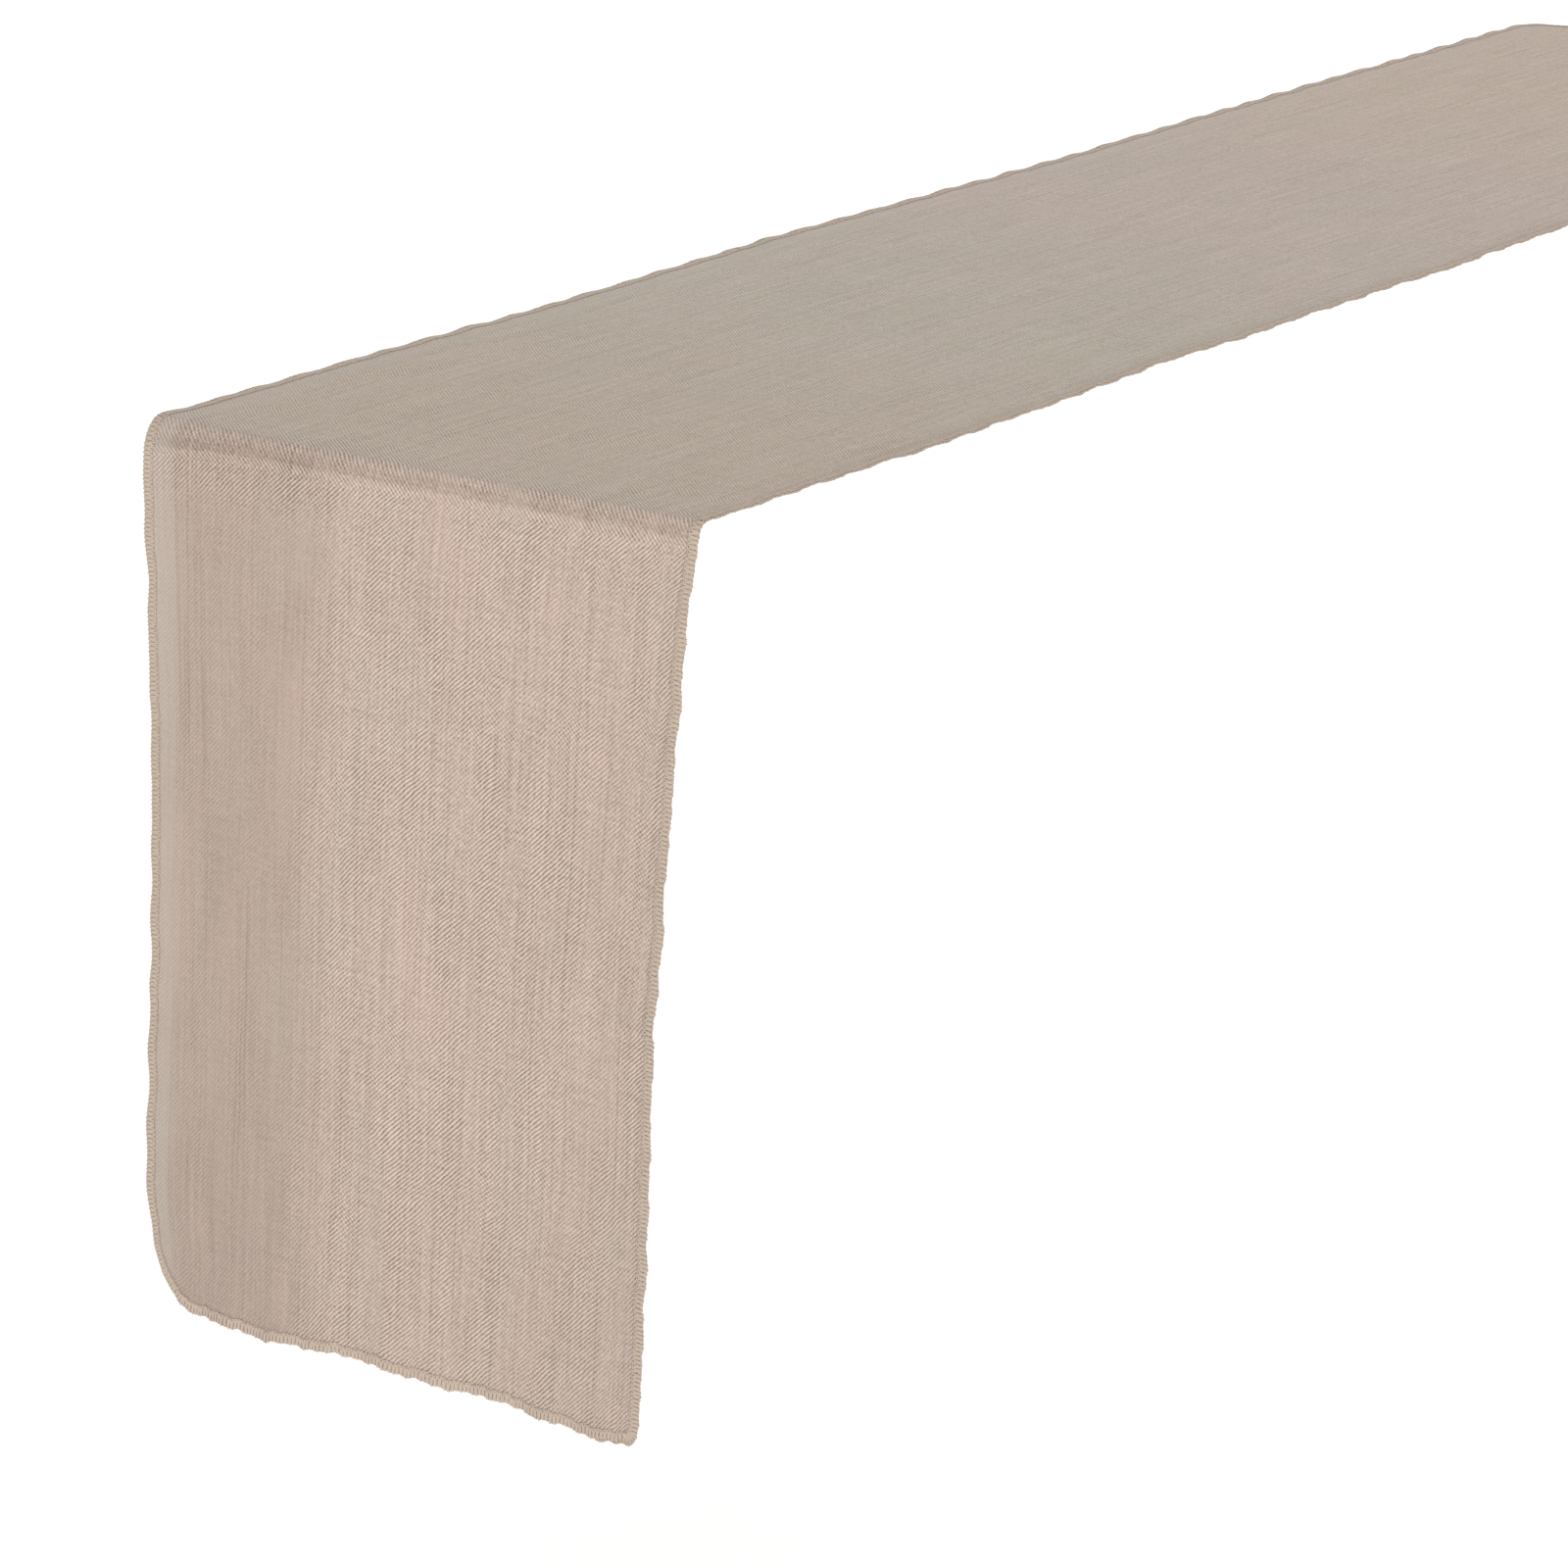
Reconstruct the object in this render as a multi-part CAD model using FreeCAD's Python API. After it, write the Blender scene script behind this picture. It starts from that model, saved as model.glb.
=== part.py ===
import FreeCAD, Part
import math
import os

from FreeCAD import Vector

# A table runner: one long strip of woven cloth with an overlocked edge all round.
#
# It lies along X on a table top. The near end, towards -X, turns down over the table's
# edge and hangs. The far end lies flat. +Y is the runner's left side, seen from the near
# end, and +Z is up. The origin is on the cloth's underside, in the middle of the stretch
# that stays on the table. All lengths are in millimetres.
#
# The overlock seam is three threads: a lower looper under the cloth, an upper looper over
# it, and a needle thread along the inner side of the seam. The seam is thicker than the
# cloth, so the cloth's margin steps up over the lower looper and the underside stays flat.

# The cloth, measured flat
RUNNER_LENGTH = 2286.0
RUNNER_WIDTH = 355.6
CLOTH_THICKNESS = 0.6
ROUND_CORNER = 38.0
SQUARE_CORNER = 0.0

# How it is laid
TABLE_EDGE_RADIUS = 8.0
DROP_LENGTH = 518.0
FAR_END_LENGTH = 527.0
FAR_FOLD_HEIGHT = 4.0

# The overlock seam
SEAM_WIDTH = 6.5
LOOPER_THICKNESS = 0.35
EDGE_WRAP = 0.3
NEEDLE_INSET = 5.5
NEEDLE_WIDTH = 0.5
NEEDLE_HEIGHT = 0.25

# The chain of thread left where the seam starts and ends
TAIL_LENGTH = 25.0
TAIL_DIAMETER = 1.6
TAIL_GAP = 0.05

# Room between pieces that move apart
BODY_GAP = 0.3

# Worked out from the sizes above
HALF_WIDTH = RUNNER_WIDTH / 2
MARGIN_LOW = LOOPER_THICKNESS
MARGIN_HIGH = LOOPER_THICKNESS + CLOTH_THICKNESS
SEAM_MIDDLE = (MARGIN_LOW + MARGIN_HIGH) / 2
SEAM_TOP = MARGIN_HIGH + LOOPER_THICKNESS
NEAR_FOLD_LENGTH = math.pi / 2 * (TABLE_EDGE_RADIUS + CLOTH_THICKNESS / 2)
FAR_FOLD_LENGTH = math.pi * (FAR_FOLD_HEIGHT - CLOTH_THICKNESS / 2)
TABLE_STRETCH = RUNNER_LENGTH - DROP_LENGTH - NEAR_FOLD_LENGTH - FAR_FOLD_LENGTH - FAR_END_LENGTH
NEAR_EDGE = -TABLE_STRETCH / 2
FAR_EDGE = TABLE_STRETCH / 2

# Rectangles across the seam: how far in from the cloth's edge they start and end, and how
# high above the underside they start and end
CLOTH_MARGIN = [(EDGE_WRAP, SEAM_WIDTH, MARGIN_LOW, MARGIN_HIGH)]
THREADS = {
    "lower_looper": [
        (0.0, SEAM_WIDTH, 0.0, MARGIN_LOW),
        (0.0, EDGE_WRAP, MARGIN_LOW, SEAM_MIDDLE),
    ],
    "upper_looper": [
        (0.0, SEAM_WIDTH, MARGIN_HIGH, SEAM_TOP),
        (0.0, EDGE_WRAP, SEAM_MIDDLE, MARGIN_HIGH),
    ],
    "needle_thread": [
        (NEEDLE_INSET, NEEDLE_INSET + NEEDLE_WIDTH, SEAM_TOP, SEAM_TOP + NEEDLE_HEIGHT),
    ],
}
SIDES = {"left": 1, "right": -1}


# Each place function takes a point of the flat cloth to where it lies: along is the way
# from the stretch's start, across is towards the left side, and up is above the underside.


def on_table(along, across, up):
    return Vector(NEAR_EDGE + along, across, up)


def on_far_fold(along, across, up):
    return Vector(FAR_EDGE + along, across, up)


def on_near_drop(along, across, up):
    return Vector(NEAR_EDGE - TABLE_EDGE_RADIUS - up, across, -TABLE_EDGE_RADIUS - along)


def on_far_end(along, across, up):
    return Vector(FAR_EDGE + FAR_FOLD_LENGTH + along, across, up)


def joined(solids):
    """One solid from several that share faces."""
    whole = solids[0]
    if len(solids) > 1:
        whole = whole.multiFuse(solids[1:]).removeSplitter()
    return whole


def raised(place, wire, low, high):
    """The solid over a flat outline, from one height above the underside to another."""
    return Part.Face(wire).extrude(place(0, 0, high) - place(0, 0, low))


def straight(place, start, end, right, left, low, high):
    """A straight strip of constant section along a flat stretch."""
    corners = [(start, right), (end, right), (end, left), (start, left), (start, right)]
    wire = Part.makePolygon([place(along, across, low) for along, across in corners])
    return raised(place, wire, low, high)


def turned(right, left, low, high):
    """The same strip where it turns down over the table's edge."""
    corners = [(right, low), (left, low), (left, high), (right, high), (right, low)]
    wire = Part.makePolygon([on_table(0, across, up) for across, up in corners])
    axis_point = on_table(0, 0, -TABLE_EDGE_RADIUS)
    return Part.Face(wire).revolve(axis_point, Vector(0, -1, 0), 90)


def rounded_corner(place, side, end, half, radius, low):
    """The arc round one corner of an end, from the long side to the end."""
    middle = radius * math.sqrt(0.5)
    points = [
        place(end - radius, side * half, low),
        place(end - radius + middle, side * (half - radius + middle), low),
        place(end, side * (half - radius), low),
    ]
    return Part.Arc(*points).toShape()


def end_outline(place, start, length, inset, radii, low):
    """The closed outline of an end stretch, inset from the cloth's edge."""
    half = HALF_WIDTH - inset
    end = length - inset
    edges = []
    tips = {}
    for name, side in SIDES.items():
        radius = max(radii[name] - inset, 0.0)
        tips[name] = place(end, side * (half - radius), low)
        shoulder = place(end - radius, side * half, low)
        edges.append(Part.makeLine(place(start, side * half, low), shoulder))
        if radius:
            edges.append(rounded_corner(place, side, end, half, radius, low))
    edges.append(Part.makeLine(tips["left"], tips["right"]))
    edges.append(Part.makeLine(place(start, -half, low), place(start, half, low)))
    return Part.Wire(Part.__sortEdges__(edges))


def end_plate(place, start, length, inset, radii, low, high):
    return raised(place, end_outline(place, start, length, inset, radii, low), low, high)


def end_band(place, length, radii, rectangle):
    """One rectangle of the seam carried down one side of an end, across it and back up."""
    outer_inset, inner_inset, low, high = rectangle
    outer = end_plate(place, BODY_GAP, length, outer_inset, radii, low, high)
    inner = end_plate(place, -BODY_GAP, length, inner_inset, radii, low, high)
    return outer.cut(inner)


def side_window(place, side, end):
    """A box round the straight part of an end's seam on one side."""
    reach = sorted([0.0, side * RUNNER_WIDTH])
    return straight(place, -BODY_GAP, end, reach[0], reach[1], -SEAM_WIDTH, SEAM_WIDTH)


def end_threads(place, length, radii, rectangles):
    """The left, right and hem pieces of one thread round an end."""
    band = joined([end_band(place, length, radii, r) for r in rectangles])
    windows = {}
    for name, side in SIDES.items():
        windows[name] = side_window(place, side, length - max(radii[name], SEAM_WIDTH))
    pieces = {name: band.common(window) for name, window in windows.items()}
    pieces["hem"] = band.cut(list(windows.values()))
    return pieces


def across(side, rectangle):
    """A seam rectangle as (right, left, low, high) on one side of the runner."""
    outer_inset, inner_inset, low, high = rectangle
    edges = sorted([side * (HALF_WIDTH - outer_inset), side * (HALF_WIDTH - inner_inset)])
    return edges[0], edges[1], low, high


def long_cloth(make):
    """The cloth of a stretch with no end: its middle and its two raised margins."""
    middle = HALF_WIDTH - SEAM_WIDTH
    solids = [make(-middle, middle, 0.0, CLOTH_THICKNESS)]
    for side in SIDES.values():
        solids += [make(*across(side, rectangle)) for rectangle in CLOTH_MARGIN]
    return joined(solids)


def end_cloth(place, length, radii):
    """The cloth of an end: its middle and the raised margin round it."""
    middle = end_plate(place, BODY_GAP, length, SEAM_WIDTH, radii, 0.0, CLOTH_THICKNESS)
    margins = [end_band(place, length, radii, rectangle) for rectangle in CLOTH_MARGIN]
    return joined([middle] + margins)


def long_threads(make, rectangles):
    """One thread's piece on each side of a stretch with no end."""
    return {
        name: joined([make(*across(side, rectangle)) for rectangle in rectangles])
        for name, side in SIDES.items()
    }


def thread_chain_tail():
    """The chained end of the seam's threads, folded back along the hem from its square corner."""
    radius = TAIL_DIAMETER / 2
    along = DROP_LENGTH + TAIL_GAP + radius
    start = on_near_drop(along, -HALF_WIDTH + radius, SEAM_MIDDLE)
    end = on_near_drop(along, -HALF_WIDTH + TAIL_LENGTH - radius, SEAM_MIDDLE)
    shaft = Part.makeCylinder(radius, (end - start).Length, start, end - start)
    caps = [Part.makeSphere(radius, point) for point in (start, end)]
    return joined([shaft] + caps)


def table_run(right, left, low, high):
    return straight(on_table, 0, TABLE_STRETCH, right, left, low, high)


def far_fold_run(right, left, low, high):
    return straight(on_far_fold, 0, FAR_FOLD_LENGTH, right, left, low, high)


LONG_STRETCHES = {
    "table_stretch": table_run,
    "near_fold": turned,
    "far_fold": far_fold_run,
}
END_STRETCHES = {
    "near_drop": (on_near_drop, DROP_LENGTH, {"left": ROUND_CORNER, "right": SQUARE_CORNER}),
    "far_end": (on_far_end, FAR_END_LENGTH, {"left": ROUND_CORNER, "right": ROUND_CORNER}),
}


def all_pieces():
    """Every node's name and solid."""
    nodes = {"thread_chain_tail": thread_chain_tail()}
    for stretch, make in LONG_STRETCHES.items():
        nodes[f"cloth_{stretch}"] = long_cloth(make)
        for thread, rectangles in THREADS.items():
            for place, solid in long_threads(make, rectangles).items():
                nodes[f"{thread}_{stretch}_{place}"] = solid
    for stretch, (place_point, length, radii) in END_STRETCHES.items():
        nodes[f"cloth_{stretch}"] = end_cloth(place_point, length, radii)
        for thread, rectangles in THREADS.items():
            for place, solid in end_threads(place_point, length, radii, rectangles).items():
                nodes[f"{thread}_{stretch}_{place}"] = solid
    return nodes


os.makedirs("parts", exist_ok=True)
for node, shape in all_pieces().items():
    solids = shape.Solids
    if len(solids) != 1 or not shape.isValid():
        raise RuntimeError(f"{node} is {len(solids)} solids, valid: {shape.isValid()}")
    solids[0].exportStep(f"parts/{node}.step")
    print(f"{node}: {solids[0].Volume / 1000:.2f} cm3")
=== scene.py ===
import math

import bpy
import numpy as np
from mathutils import Matrix, Vector


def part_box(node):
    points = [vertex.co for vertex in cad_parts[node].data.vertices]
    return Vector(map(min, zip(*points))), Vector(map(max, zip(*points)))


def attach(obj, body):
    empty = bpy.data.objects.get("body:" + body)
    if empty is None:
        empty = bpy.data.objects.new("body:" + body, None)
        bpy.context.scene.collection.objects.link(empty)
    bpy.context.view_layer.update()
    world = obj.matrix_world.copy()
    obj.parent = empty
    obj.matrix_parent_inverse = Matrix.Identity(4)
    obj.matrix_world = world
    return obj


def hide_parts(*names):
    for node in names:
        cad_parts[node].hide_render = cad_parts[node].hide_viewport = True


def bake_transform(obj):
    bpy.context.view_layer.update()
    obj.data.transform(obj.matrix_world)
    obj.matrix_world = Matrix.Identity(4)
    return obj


# A slubbed linen-look table runner, draped over the near edge of a table and lying flat to
# its far end, with a three-thread overlock seam round its edge.
#
# Two coordinates name a point of the flat cloth: along, from the near hem to the far one,
# and across, positive towards the runner's left. height is above the cloth's underside.
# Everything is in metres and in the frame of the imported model.

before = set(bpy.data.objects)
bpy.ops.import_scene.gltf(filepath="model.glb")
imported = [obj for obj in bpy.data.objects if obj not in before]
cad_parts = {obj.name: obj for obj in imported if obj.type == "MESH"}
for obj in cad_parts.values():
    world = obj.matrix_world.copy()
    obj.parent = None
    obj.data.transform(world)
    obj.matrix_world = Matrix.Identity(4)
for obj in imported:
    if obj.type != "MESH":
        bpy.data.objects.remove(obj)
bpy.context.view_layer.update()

# ---------------------------------------------------------------- places in the frame

NEAR_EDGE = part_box("cloth_table_stretch")[0].x
FAR_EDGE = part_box("cloth_table_stretch")[1].x
FAR_FOLD_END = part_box("cloth_far_fold")[1].x
FAR_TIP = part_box("lower_looper_far_end_hem")[1].x
HALF_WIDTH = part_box("lower_looper_near_drop_left")[1].y
DROP_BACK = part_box("lower_looper_near_drop_left")[1].x
HEM_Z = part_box("lower_looper_near_drop_hem")[0].z

CLOTH_THICKNESS = 0.0006
SEAM_WIDTH = HALF_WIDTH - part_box("upper_looper_table_stretch_left")[0].y
EDGE_RADIUS = NEAR_EDGE - DROP_BACK
DROP_LENGTH = -HEM_Z - EDGE_RADIUS
TURN_LENGTH = math.pi / 2 * (EDGE_RADIUS + CLOTH_THICKNESS / 2)

# Places along the flat cloth
EDGE_ALONG = DROP_LENGTH + TURN_LENGTH
LENGTH = EDGE_ALONG + FAR_TIP - NEAR_EDGE
MIDDLE_ALONG = EDGE_ALONG - NEAR_EDGE
FOLD_START_ALONG = EDGE_ALONG + FAR_EDGE - NEAR_EDGE
FOLD_END_ALONG = EDGE_ALONG + FAR_FOLD_END - NEAR_EDGE

# ---------------------------------------------------------------- the cut and the drape

ROUND_CORNER = 0.038
NEAR_RIGHT_CORNER = 0.0078

# The bend over the table's edge: its radius, the share of the way to the left from which it
# grows looser, how far it reaches in front of the edge on each side, and how much the cloth
# stands up just before it
TIGHT_BEND = 0.0065
LOOSE_BEND = 0.0175
RIGHT_REACH = 0.0104
LEFT_REACH = 0.0207
LOOSE_FROM = 0.78
LOOSE_FULL = 1.05
RIDGE_LIFT = 0.0006
RIDGE_BACK = 0.015
RIDGE_FRONT = 0.012

# The hanging end turns a little about a vertical line: its right edge comes forward and
# its left edge falls back, past a soft upright fold
RIGHT_FORWARD = 0.0170
RIGHT_SETTLES = 0.068
RIGHT_BELLY = 0.0045
RIGHT_BELLY_DEPTH = 0.280
RIGHT_BELLY_SIZE = 0.080
LEFT_BACK = 0.0225
LEFT_SETTLES = 0.183
LEFT_SHARPNESS = 1.43
FOLD_DEPTH = 0.0052
FOLD_CREST = 0.66
FOLD_SPAN = 0.95
FOLD_SETTLES = 0.090

# Waves that the seam puts into the edges: lengths, and sizes off and along the cloth
LONG_WAVES = (0.043, 0.071, 0.127)
SHORT_WAVES = (0.0085, 0.0150, 0.0310)
WAVE_LIFT = 0.0003
WAVE_SWING = 0.0009
LEFT_CALM = 0.35
WAVE_FADE = 0.016
SIDE_WANDER = 0.0006
HEM_WANDER = 0.0011
WANDER_FADE = 0.022

# The hem sags before its round left corner, between shares of the way to the left, and eases
# again at the corner. It is pulled up at its right corner, and the left edge is drawn in
# above the hem.
SAG = 0.0060
SAG_RISES = (0.58, 0.74)
SAG_EASES = (0.88, 1.0)
SAG_EASED = 0.8
SAG_FADE = 0.100
PULLED_UP = 0.0042
PULLED_UP_WIDTH = 0.045
PULLED_UP_FADE = 0.060
DRAWN_IN = 0.0075
DRAWN_IN_ALONG = 0.020
DRAWN_IN_LENGTH = 0.030
DRAWN_IN_FADE = 0.050

# How the long edges swing out and in on the table: how far past the bend, how far out, and
# over what length
LEFT_SWINGS = ((0.37, -0.0022, 0.11), (0.67, 0.0030, 0.09), (1.03, -0.0030, 0.17))
RIGHT_SWINGS = ((0.26, 0.0036, 0.12), (0.52, -0.0034, 0.035), (0.90, 0.0022, 0.07))
SWING_FADE = 0.080

# A broad ripple of the whole cloth on the table: its size, its lengths and its phase
TABLE_RIPPLE = 0.0003
RIPPLE_ALONG = 0.061
RIPPLE_ACROSS = 0.047
RIPPLE_SLANT = 0.19
RIPPLE_PHASE = 1.3

# ---------------------------------------------------------------- the seam

# How far the cloth's margin is raised, over what width it comes down, and how high the
# middle of the cloth is there
SEAM_RISE = 0.00035
SEAM_RAMP = 0.0040
SEAM_MIDDLE = 0.00065

# The length of a stitch, and how uneven the stitches are as a share of their size and, in
# millimetres, from point to point
STITCH = 0.0026
STITCH_UNEVEN = 0.05
POINT_UNEVEN = 0.12

# One stitch of each thread: how far on along the seam, as a share of the stitch, how far in
# from the cloth's edge, as a share of the seam's width, and how high above the underside in
# millimetres. The way out and the way back lie close together, with a gap after each pair.
UPPER_LOOPER = [
    (0.00, 0.90, 1.18),
    (0.10, 0.68, 1.30),
    (0.19, 0.36, 1.32),
    (0.25, 0.10, 1.18),
    (0.31, -0.05, 0.80),
    (0.38, 0.10, 1.20),
    (0.46, 0.36, 1.34),
    (0.56, 0.68, 1.32),
    (0.76, 0.88, 1.24),
]
LOWER_LOOPER = [
    (0.00, -0.05, 0.55),
    (0.10, 0.10, 0.20),
    (0.26, 0.40, 0.18),
    (0.40, 0.70, 0.18),
    (0.52, 0.88, 0.20),
    (0.66, 0.70, 0.18),
    (0.80, 0.40, 0.18),
    (0.92, 0.10, 0.20),
]
NEEDLE_THREAD = [
    (0.00, 0.90, 1.10),
    (0.16, 0.88, 1.50),
    (0.50, 0.87, 1.58),
    (0.84, 0.88, 1.50),
]
MM = 0.001


def smooth(value, low, high):
    """0 below low, 1 above high and an S-shaped curve between them."""
    t = np.clip((value - low) / (high - low), 0.0, 1.0)
    return t * t * (3 - 2 * t)


def wave(distance, seed, lengths=LONG_WAVES):
    """An uneven wave of about one unit either way, different for each seed."""
    draw = np.random.default_rng(seed)
    total = np.zeros_like(distance)
    for length in lengths:
        stretch = draw.uniform(0.85, 1.15)
        total += np.sin(2 * math.pi * (distance / (length * stretch) + draw.uniform()))
    return total / math.sqrt(2 * len(lengths))


def hanging_forward(left, hang):
    """How far the hanging end stands forward of the bend's front, at a depth below it."""
    right_edge = RIGHT_FORWARD * (1 - np.exp(-hang / RIGHT_SETTLES))
    belly = (hang - RIGHT_BELLY_DEPTH) / RIGHT_BELLY_SIZE
    right_edge += RIGHT_BELLY * np.exp(-belly**2)
    left_edge = -LEFT_BACK * (1 - np.exp(-((hang / LEFT_SETTLES) ** LEFT_SHARPNESS)))
    fold = FOLD_DEPTH * np.cos(2 * math.pi * (left - FOLD_CREST) / FOLD_SPAN)
    settled = 1 - np.exp(-hang / FOLD_SETTLES)
    return right_edge * (1 - left) + left_edge * left + fold * settled


def swings(past_bend, places):
    """How far out a long edge lies, for lengths along the table past the bend."""
    total = np.zeros_like(past_bend)
    for place, size, length in places:
        total += size * np.exp(-(((past_bend - place) / length) ** 2))
    return total


def laid(along, across):
    """Where points of the underside lie before the cloth settles."""
    left = (across + HALF_WIDTH) / (2 * HALF_WIDTH)
    loose = smooth(left, LOOSE_FROM, LOOSE_FULL)
    radius = TIGHT_BEND + (LOOSE_BEND - TIGHT_BEND) * loose
    reach = RIGHT_REACH + (LEFT_REACH - RIGHT_REACH) * left
    bend_start = NEAR_EDGE + radius - reach
    past = bend_start - (NEAR_EDGE + along - EDGE_ALONG)
    turn = np.clip(past / radius, 0.0, math.pi / 2)
    hang = np.maximum(past - radius * math.pi / 2, 0.0)

    hanging = turn / (math.pi / 2)
    ridge = np.where(past < 0, past / RIDGE_BACK, past / RIDGE_FRONT)
    lift = side_waves(along, across, hanging) + RIDGE_LIFT * np.exp(-(ridge**2))
    x = bend_start - np.minimum(past, 0.0) - radius * np.sin(turn) - lift * np.sin(turn)
    z = radius * (np.cos(turn) - 1) - hang + lift * np.cos(turn)
    x -= hanging_forward(left, hang)
    from_left, from_right = HALF_WIDTH - across, HALF_WIDTH + across
    y = across + SIDE_WANDER * (
        wave(along, 11) * np.exp(-from_left / WANDER_FADE)
        + (wave(along, 12) + wave(along, 14, SHORT_WAVES)) * np.exp(-from_right / WANDER_FADE)
    )
    ragged = wave(across, 13) + wave(across, 15, SHORT_WAVES)
    z += hanging * HEM_WANDER * ragged * np.exp(-along / WANDER_FADE)
    sagging = smooth(left, *SAG_RISES) * (1 - SAG_EASED * smooth(left, *SAG_EASES))
    z -= hanging * SAG * sagging * np.exp(-along / SAG_FADE)
    pulled_up = (left / PULLED_UP_WIDTH) ** 2 + along / PULLED_UP_FADE
    z += hanging * PULLED_UP * np.exp(-pulled_up)
    drawn_in = ((along - DRAWN_IN_ALONG) / DRAWN_IN_LENGTH) ** 2 + from_left / DRAWN_IN_FADE
    y -= DRAWN_IN * np.exp(-drawn_in)
    y += swings(-past, LEFT_SWINGS) * np.exp(-from_left / SWING_FADE)
    y -= swings(-past, RIGHT_SWINGS) * np.exp(-from_right / SWING_FADE)
    return np.stack([x, y, z], axis=-1)


def side_waves(along, across, hanging):
    """How far the seam's waves stand off the cloth's own plane. On the table they only rise."""
    total = np.zeros_like(along)
    edges = [
        (HALF_WIDTH - across, along, 1, LEFT_CALM),
        (HALF_WIDTH + across, along, 2, 1.0),
        (along, across, 3, 1.0),
        (LENGTH - along, across, 4, 1.0),
    ]
    for distance_in, distance_on, seed, calm in edges:
        ripple = wave(distance_on, seed) * calm
        up = WAVE_LIFT * (1 + ripple) * (1 - hanging) + WAVE_SWING * ripple * hanging
        total += up * np.exp(-np.maximum(distance_in, 0.0) / WAVE_FADE)
    broad = np.sin(along / RIPPLE_ALONG + RIPPLE_PHASE)
    broad *= np.sin(across / RIPPLE_ACROSS + along / RIPPLE_SLANT)
    return total + TABLE_RIPPLE * (1 + broad) * (1 - hanging)


# ---------------------------------------------------------------- the cloth settling

# A coarse grid of the whole cloth settles under its own weight on the table top, with a seam
# a little longer than the cloth it is sewn to, which makes the edges wave
SIM_STEP = 0.008
SIM_FRAMES = 24
SIM_MASS = 0.0003
SIM_TENSION = 80.0
SIM_SHEAR = 10.0
SIM_BENDING = 0.02
SIM_DAMPING = 8.0
SIM_QUALITY = 6
SIM_COLLISION_QUALITY = 3

# How much longer the seam is than the cloth, as a share, and how far in it reaches
SEAM_FULLNESS = 0.0022
SEAM_REACH = 0.014

# Where the cloth is held as it was laid: on the table from this far in from its edge, weakly
# in the drop, at the bend, and a little at the left edge. No point moves more than this.
FREE_EDGE = 0.008
HELD_ON_TABLE = 0.030
HELD_IN_DROP = 0.045
BEND_HELD = 0.048
LEFT_HELD = 0.12
MOST_MOVE = 0.005

# The table top that is there while the cloth settles, and the gap that collision keeps
TABLE_THICKNESS = 0.022
TABLE_FRICTION = 30
TABLE_SKIN = 0.001
CLOTH_SKIN = 0.001
SIM_GAP = 0.0021


def sim_grid():
    """The coarse grid's places along and across the flat cloth."""
    rows = np.linspace(0, LENGTH, round(LENGTH / SIM_STEP) + 1)
    across = np.linspace(-HALF_WIDTH, HALF_WIDTH, round(2 * HALF_WIDTH / SIM_STEP) + 1)
    return np.meshgrid(rows, across, indexing="ij")


def table_block():
    """The table top under the cloth, which is there only while the cloth settles."""
    x = (NEAR_EDGE - 0.5 * EDGE_RADIUS, NEAR_EDGE + LENGTH)
    y = (-2 * HALF_WIDTH, 2 * HALF_WIDTH)
    z = (-TABLE_THICKNESS - SIM_GAP, -SIM_GAP)
    bpy.ops.mesh.primitive_cube_add(size=1)
    block = bpy.context.object
    block.scale = (x[1] - x[0], y[1] - y[0], z[1] - z[0])
    block.location = ((x[0] + x[1]) / 2, 0, (z[0] + z[1]) / 2)
    block.modifiers.new("collision", "COLLISION")
    block.collision.thickness_outer = TABLE_SKIN
    block.collision.cloth_friction = TABLE_FRICTION
    return block


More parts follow.
